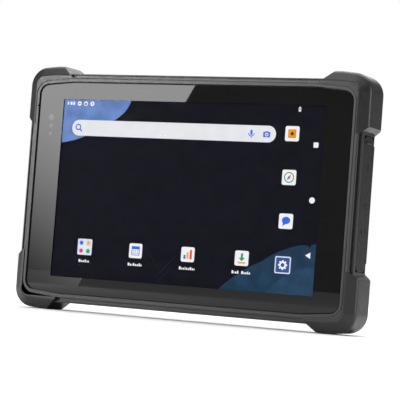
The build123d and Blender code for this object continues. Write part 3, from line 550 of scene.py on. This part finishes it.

# ---- port cover -------------------------------------------------------------------------------
# A long flap of soft rubber over the sockets. It is moulded with a pull tab and sunk marks. On the real
# tablet it bends about the strip along its rear edge, which is pressed into the housing; here it does not
# bend.
port_rubber = moulded("port_rubber", tone(23, 23, 24), 0.5, 0.35 * MM, 0.014 * MM, edge_wear_and_highlight=0.9,
                      Specular_IOR_Level=0.25)
dress(port_rubber, "port_cover", "port_cover_anchor")

# ---- keys -------------------------------------------------------------------------------------
# Four rubber keys in slots of the upper edge. Each carries a raised sign: plus, minus, a ring
# for power and a dot for the function key.
key_rubber = moulded("key_rubber", tone(30, 30, 31), 0.48, 0.3 * MM, 0.012 * MM, edge_wear_and_highlight=0.6)
SIGN_PROUD, SIGN_SUNK = 0.12 * MM, 0.1 * MM
KEY_SIGNS = {
    "volume_up_key": [stroke(-1.3, 0, 1.3, 0, 0.5), stroke(0, -1.3, 0, -0.25, 0.5),
                      stroke(0, 0.25, 0, 1.3, 0.5)],
    "volume_down_key": [stroke(-1.3, 0, 1.3, 0, 0.5)],
    "power_key": [ring_sector(0, 0, 0.85, 1.25, pi / 2 + 0.5, 5 * pi / 2 - 0.5, 24),
                  stroke(0, 0.2, 0, 1.4, 0.4)],
    "function_key": [disc_outline(0, 0, 0.9, 24)],
}
for key, outlines in KEY_SIGNS.items():
    dress(key_rubber, key)
    low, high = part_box(key)
    key_middle = ((low[0] + high[0]) / 2, (low[1] + high[1]) / 2)
    points, faces = flat_signs(outlines, key_middle, (high[2] + SIGN_PROUD, high[2] - SIGN_SUNK), column=2)
    make_piece(f"{key}_sign", points, faces, key, key_rubber, smooth=False)

# ---- battery cover, screws and docking connector ----------------------------------------------
# The cover is moulded like the housing and held by six screws. All the screws have hexagon
# sockets and a black zinc coat.
dress(housing_plastic, "battery_cover", "dock_connector")
dress(moulded("dark_steel", tone(92, 92, 95), 0.34, 0.3 * MM, 0.006 * MM, Metallic=1.0), "housing_screws",
      "battery_cover_screws", "board_screws")

# ---- speaker meshes ---------------------------------------------------------------------------
# Woven steel mesh glued behind the slots, which keeps dust out of the two speakers.
mesh_steel, mesh_shader, mesh_place = new_material("speaker_mesh_steel")
weave = add_node(mesh_place, "ShaderNodeTexVoronoi", feature="F1", distance="EUCLIDEAN")
wire(mesh_place, weave.inputs["Vector"])
weave.inputs["Scale"].default_value = 1 / (0.35 * MM)
weave.inputs["Randomness"].default_value = 0.0
# the holes of the weave are painted near black: painted shade of the cavity behind the mesh
hole_shade = ranged(weave.outputs["Distance"], 0.28, 0.36, 1.0, 0.0)
wire(mixed(hole_shade, tone(74, 74, 76), tone(6, 6, 6)), mesh_shader.inputs["Base Color"])
wire(ranged(hole_shade, 0.0, 1.0, 0.35, 0.9), mesh_shader.inputs["Roughness"])
mesh_shader.inputs["Metallic"].default_value = 0.6
dress(mesh_steel, "speaker_meshes")

# ---- rear camera and flash --------------------------------------------------------------------
# The camera looks out through a round window in a black anodised ring. Under the window lies a
# stepped barrel with a curved lens. The flash has a ribbed lens of its own.
ring_metal = moulded("ring_metal", tone(40, 41, 44), 0.28, 0.25 * MM, 0.004 * MM, edge_wear_and_highlight=1.2, Metallic=0.8)
dress(ring_metal, "rear_camera_ring")
lens_low, lens_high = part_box("rear_camera_window")
lens_x, lens_z = (lens_low[0] + lens_high[0]) / 2, (lens_low[2] + lens_high[2]) / 2
window_glass, window_shader, window_place = new_material("lens_glass")
window_tint = mixed(noise(window_place, 6 * MM), tone(10, 12, 20), tone(14, 14, 18))
wire(window_tint, window_shader.inputs["Base Color"])
window_shader.inputs["Alpha"].default_value = 0.22
window_shader.inputs["Roughness"].default_value = 0.03
dress(window_glass, "rear_camera_window")


def turned_piece(name, profile, x, z, body, material, steps=64):
    """A piece turned on an axis along y: each (radius, y) of the profile goes once round, at
    (x + r cos t, y, z + r sin t). The profile starts and ends on the axis."""
    profile = np.asarray(profile, float)
    t = np.linspace(0, 2 * pi, steps, endpoint=False)
    radii, depths = profile[1:-1, 0][:, None], profile[1:-1, 1][:, None]
    flat = np.broadcast_to(depths, (len(radii), steps))
    rings = np.stack([x + radii * np.cos(t), flat, z + radii * np.sin(t)], -1)
    points = np.vstack([rings.reshape(-1, 3), [(x, profile[0, 1], z), (x, profile[-1, 1], z)]])
    row_index, column_index = np.meshgrid(np.arange(len(radii) - 1), np.arange(steps), indexing="ij")
    after = (column_index + 1) % steps
    quads = np.stack([row_index * steps + column_index, (row_index + 1) * steps + column_index,
                      (row_index + 1) * steps + after, row_index * steps + after], -1).reshape(-1, 4)
    around = np.arange(steps)
    following = (around + 1) % steps
    first, last = len(points) - 2, len(points) - 1
    last_ring = (len(radii) - 1) * steps
    start_cap = np.column_stack([np.full(steps, first), around, following])
    end_cap = np.column_stack([np.full(steps, last), last_ring + following, last_ring + around])
    faces = quads.tolist() + start_cap.tolist() + end_cap.tolist()
    return make_piece(name, points, faces, body, material)


barrel_base = lens_low[1] - 0.95 * MM
BARREL_STEPS = [(2.85, 0.75), (2.45, 0.75), (2.4, 0.5), (2.0, 0.5), (1.95, 0.3), (1.55, 0.3), (1.5, 0.12),
                (0.1, 0.12)]  # radius and height in millimetres
barrel = [(0.0, barrel_base), (2.85 * MM, barrel_base)]
barrel += [(r * MM, barrel_base + d * MM) for r, d in BARREL_STEPS] + [(0.0, barrel_base + 0.12 * MM)]
turned_piece("rear_camera_barrel", barrel, lens_x, lens_z, "tablet",
             moulded("barrel_black", tone(24, 24, 27), 0.3, 0.2 * MM, 0.003 * MM))
dome_r = np.linspace(1.45, 0.05, 10) * MM
dome = [(0.0, barrel_base + 0.13 * MM), (1.45 * MM, barrel_base + 0.14 * MM)]
dome += [(r, barrel_base + 0.15 * MM + 0.3 * MM * (1 - (r / (1.5 * MM)) ** 2)) for r in dome_r]
dome += [(0.0, barrel_base + 0.45 * MM)]
lens_coat, coat_shader, coat_place = new_material("lens_coating")
wire(mixed(noise(coat_place, 2 * MM), tone(26, 20, 60), tone(12, 30, 48)), coat_shader.inputs["Base Color"])
coat_shader.inputs["Roughness"].default_value = 0.04
coat_shader.inputs["Coat Weight"].default_value = 1.0
turned_piece("rear_camera_lens", dome, lens_x, lens_z, "tablet", lens_coat)

flash_low, flash_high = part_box("flash_window")
flash, flash_shader, flash_place = new_material("flash_lens")
ribs_and_groove_shade = add_node(flash_place, "ShaderNodeTexWave", wave_type="RINGS", rings_direction="Y")
centred = add_node(flash_place, "ShaderNodeMapping")
flash_x, flash_z = (flash_low[0] + flash_high[0]) / 2, (flash_low[2] + flash_high[2]) / 2
centred.inputs["Location"].default_value = (-flash_x, 0, -flash_z)
wire(flash_place, centred.inputs["Vector"])
wire(centred.outputs[0], ribs_and_groove_shade.inputs["Vector"])
ribs_and_groove_shade.inputs["Scale"].default_value = 1 / (6 * MM)
rib_relief = add_node(flash_place, "ShaderNodeBump")
rib_relief.inputs["Distance"].default_value = 0.06 * MM
wire(ribs_and_groove_shade.outputs["Fac"], rib_relief.inputs["Height"])
wire(rib_relief.outputs["Normal"], flash_shader.inputs["Normal"])
# the lens colour follows the rib height: painted shade in the grooves and a painted highlight on the crests
wire(mixed(ribs_and_groove_shade.outputs["Fac"], tone(214, 206, 170), tone(240, 236, 214)), flash_shader.inputs["Base Color"])
flash_shader.inputs["Roughness"].default_value = 0.2
dress(flash, "flash_window")

# ---- floor, light and camera --------------------------------------------------------------------
# A plain white table, a wide soft light above, a soft panel at the front left that the glass
# mirrors, and a low camera to the right of the tablet.
FLOOR_HALF = 4.0
floor_mesh = bpy.data.meshes.new("floor")
corners = [(-FLOOR_HALF, -FLOOR_HALF, 0), (FLOOR_HALF, -FLOOR_HALF, 0), (FLOOR_HALF, FLOOR_HALF, 0),
           (-FLOOR_HALF, FLOOR_HALF, 0)]
floor_mesh.from_pydata(corners, [], [(0, 1, 2, 3)])
floor_material, floor_shader, floor_place = new_material("floor_white")
floor_tone = mixed(noise(floor_place, 0.4), tone(230, 230, 230), tone(233, 233, 233))
wire(floor_tone, floor_shader.inputs["Base Color"])
floor_shader.inputs["Roughness"].default_value = 0.8
floor_shader.inputs["Specular IOR Level"].default_value = 0.1
floor_mesh.materials.append(floor_material)
floor = bpy.data.objects.new("floor", floor_mesh)
bpy.context.scene.collection.objects.link(floor)

world = bpy.data.worlds.new("studio")
world.use_nodes = True
bpy.context.scene.world = world
world_nodes, world_links = world.node_tree.nodes, world.node_tree.links
seen = world_nodes["Background"]
seen.inputs["Color"].default_value = (1.0, 1.0, 1.0, 1.0)
seen.inputs["Strength"].default_value = 1.0
felt = world_nodes.new("ShaderNodeBackground")
felt.inputs["Color"].default_value = (0.97, 0.98, 1.0, 1.0)
felt.inputs["Strength"].default_value = 0.2
choice = world_nodes.new("ShaderNodeMixShader")
world_links.new(world_nodes.new("ShaderNodeLightPath").outputs["Is Camera Ray"], choice.inputs[0])
world_links.new(felt.outputs[0], choice.inputs[1])
world_links.new(seen.outputs[0], choice.inputs[2])
world_links.new(choice.outputs[0], world_nodes["World Output"].inputs["Surface"])

middle = Vector(CENTRE)


def soft_light(name, place, aim, width, height, radiance):
    """A rectangular light at the place, facing the aim. Its power is pi x area x radiance."""
    light = bpy.data.lights.new(name, "AREA")
    light.shape = "RECTANGLE"
    light.size, light.size_y = width, height
    light.energy = pi * width * height * radiance
    lamp = bpy.data.objects.new(name, light)
    lamp.location = place
    lamp.rotation_euler = (Vector(aim) - Vector(place)).to_track_quat("-Z", "Y").to_euler()
    bpy.context.scene.collection.objects.link(lamp)
    return lamp


soft_light("right_strip", (1.3, 0.10, 0.10), middle, 0.3, 1.2, 8.0)
soft_light("front_light", (0.15, -1.2, 1.05), middle, 0.7, 0.5, 5.0)
soft_light("back_light", (-0.5, 1.4, 0.9), middle, 1.0, 0.8, 2.0)
sky = bpy.data.lights.new("overhead_light", "SUN")
sky.energy = 3.6
sky.angle = radians(70)
sky_lamp = bpy.data.objects.new("overhead_light", sky)
sky_lamp.rotation_euler = (radians(-12), radians(-6), 0)
bpy.context.scene.collection.objects.link(sky_lamp)

# the panel stands upright and is turned in its own plane, so that its straight edge shows in
# the glass as a slanting line; it is dim at its lower end
PANEL_W, PANEL_H = 0.9, 0.7
PANEL_CORNER = Vector((-0.555, -1.1, 0.272))  # a point on its right-hand edge
PANEL_LEAN = radians(29.3)
PANEL_BELOW = 0.40  # length of the panel below that point
panel_side = Vector((cos(PANEL_LEAN), 0, -sin(PANEL_LEAN)))
panel_up = Vector((sin(PANEL_LEAN), 0, cos(PANEL_LEAN)))
panel = soft_light("front_left_panel", PANEL_CORNER, PANEL_CORNER, PANEL_W, PANEL_H, 13.0)
panel.location = PANEL_CORNER - panel_side * PANEL_W / 2 + panel_up * (PANEL_H / 2 - PANEL_BELOW)
panel.rotation_euler = Matrix((panel_side, panel_up, panel_side.cross(panel_up))).transposed().to_euler()
panel.data.use_nodes = True
panel_tree = panel.data.node_tree
across = panel_tree.nodes.new("ShaderNodeNewGeometry").outputs["Parametric"]
parts = add_node(across, "ShaderNodeSeparateXYZ")
wire(across, parts.inputs[0])
fade = add_node(across, "ShaderNodeMapRange", interpolation_type="SMOOTHSTEP")
for socket, value in zip(fade.inputs, (parts.outputs["Y"], 0.02, 0.42, 0.0, 1.0)):
    wire(value, socket)
wire(fade.outputs["Result"], panel_tree.nodes["Emission"].inputs["Strength"])

CAMERA_PLACE = (0.4594, -0.9035, 0.0284)
LOOK = Vector((-0.4483, 0.8929, 0.0427)).normalized()
ROLL = radians(4.33)
camera_data = bpy.data.cameras.new("camera")
camera_data.lens = 154.66
camera_data.sensor_width = 36.0
camera_data.clip_start = 0.01
camera = bpy.data.objects.new("camera", camera_data)
camera.location = CAMERA_PLACE
turn = Quaternion(LOOK, -ROLL) @ LOOK.to_track_quat("-Z", "Y")
camera.rotation_euler = turn.to_euler()
bpy.context.scene.collection.objects.link(camera)
bpy.context.scene.camera = camera
bpy.context.scene.view_settings.view_transform = "Standard"
